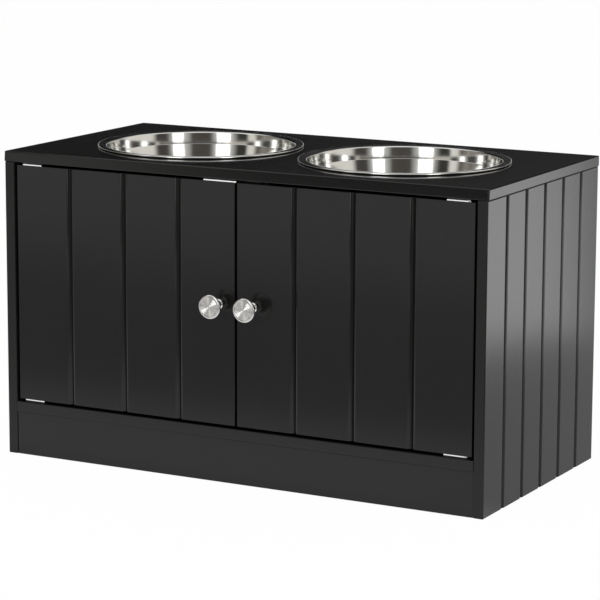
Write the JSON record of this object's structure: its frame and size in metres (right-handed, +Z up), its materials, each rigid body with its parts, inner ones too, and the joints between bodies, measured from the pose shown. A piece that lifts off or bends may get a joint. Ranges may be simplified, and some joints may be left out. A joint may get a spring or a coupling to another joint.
{
  "type": "elevated dog feeder with storage",
  "caption": "Raised dog feeder: a black cupboard with grooved boards, hinged doors with round steel knobs, and lift-out steel bowls in its top.",
  "frame": {"origin": "on the floor, under the middle of the whole outline with the knobs in it", "axes": "+X along the width to the viewer's right, +Y from the doors to the back, +Z up"},
  "size_m": [0.6, 0.32, 0.3527],
  "materials": {
    "painted_board": "satin black paint on fibreboard",
    "back_board": "matt black painted hardboard",
    "bowl_steel": "polished stainless steel",
    "knob_metal": "spun and polished",
    "hinge_steel": "bright nickel plate",
    "zinc_steel": "zinc plate",
    "catch_plastic": "moulded",
    "magnet": "sintered ferrite",
    "dowel_wood": "raw beech"
  },
  "bodies": {
    "cabinet": {"top_panel": "painted_board", "left_side_panel": "painted_board", "right_side_panel": "painted_board", "back_panel": "back_board", "bottom_shelf": "painted_board", "front_toe_board": "painted_board", "rear_toe_board": "painted_board", "left_upper_frame_leaf": "hinge_steel", "left_lower_frame_leaf": "hinge_steel", "right_upper_frame_leaf": "hinge_steel", "right_lower_frame_leaf": "hinge_steel", "pivot_pins": "hinge_steel", "frame_leaf_screws": "zinc_steel", "catch_body": "catch_plastic", "catch_magnets": "magnet", "catch_pole_plates": "zinc_steel", "catch_screws": "zinc_steel", "dowels": "dowel_wood", "cam_bolts": "zinc_steel", "cam_discs": "zinc_steel"},
    "left_door": {"left_door": "painted_board", "left_knob": "knob_metal", "left_knob_screw": "zinc_steel", "left_upper_door_leaf": "hinge_steel", "left_lower_door_leaf": "hinge_steel", "left_door_leaf_screws": "zinc_steel", "left_strike_plate": "hinge_steel", "left_strike_screws": "zinc_steel"},
    "right_door": {"right_door": "painted_board", "right_knob": "knob_metal", "right_knob_screw": "zinc_steel", "right_upper_door_leaf": "hinge_steel", "right_lower_door_leaf": "hinge_steel", "right_door_leaf_screws": "zinc_steel", "right_strike_plate": "hinge_steel", "right_strike_screws": "zinc_steel"},
    "left_bowl": {"left_bowl": "bowl_steel"},
    "right_bowl": {"right_bowl": "bowl_steel"}
  },
  "joints": [
    {"name": "left_door_hinge", "type": "hinge", "parent": "cabinet", "child": "left_door", "pos_m": [-0.2747, -0.133, 0.2], "axis": [0, 0, -1], "range_deg": [0, 110]},
    {"name": "right_door_hinge", "type": "hinge", "parent": "cabinet", "child": "right_door", "pos_m": [0.2747, -0.133, 0.2], "axis": [0, 0, 1], "range_deg": [0, 110]},
    {"name": "left_bowl_lift", "type": "slide", "parent": "cabinet", "child": "left_bowl", "axis": [0, 0, 1], "range_m": [0, 0.1]},
    {"name": "right_bowl_lift", "type": "slide", "parent": "cabinet", "child": "right_bowl", "axis": [0, 0, 1], "range_m": [0, 0.1]}
  ]
}
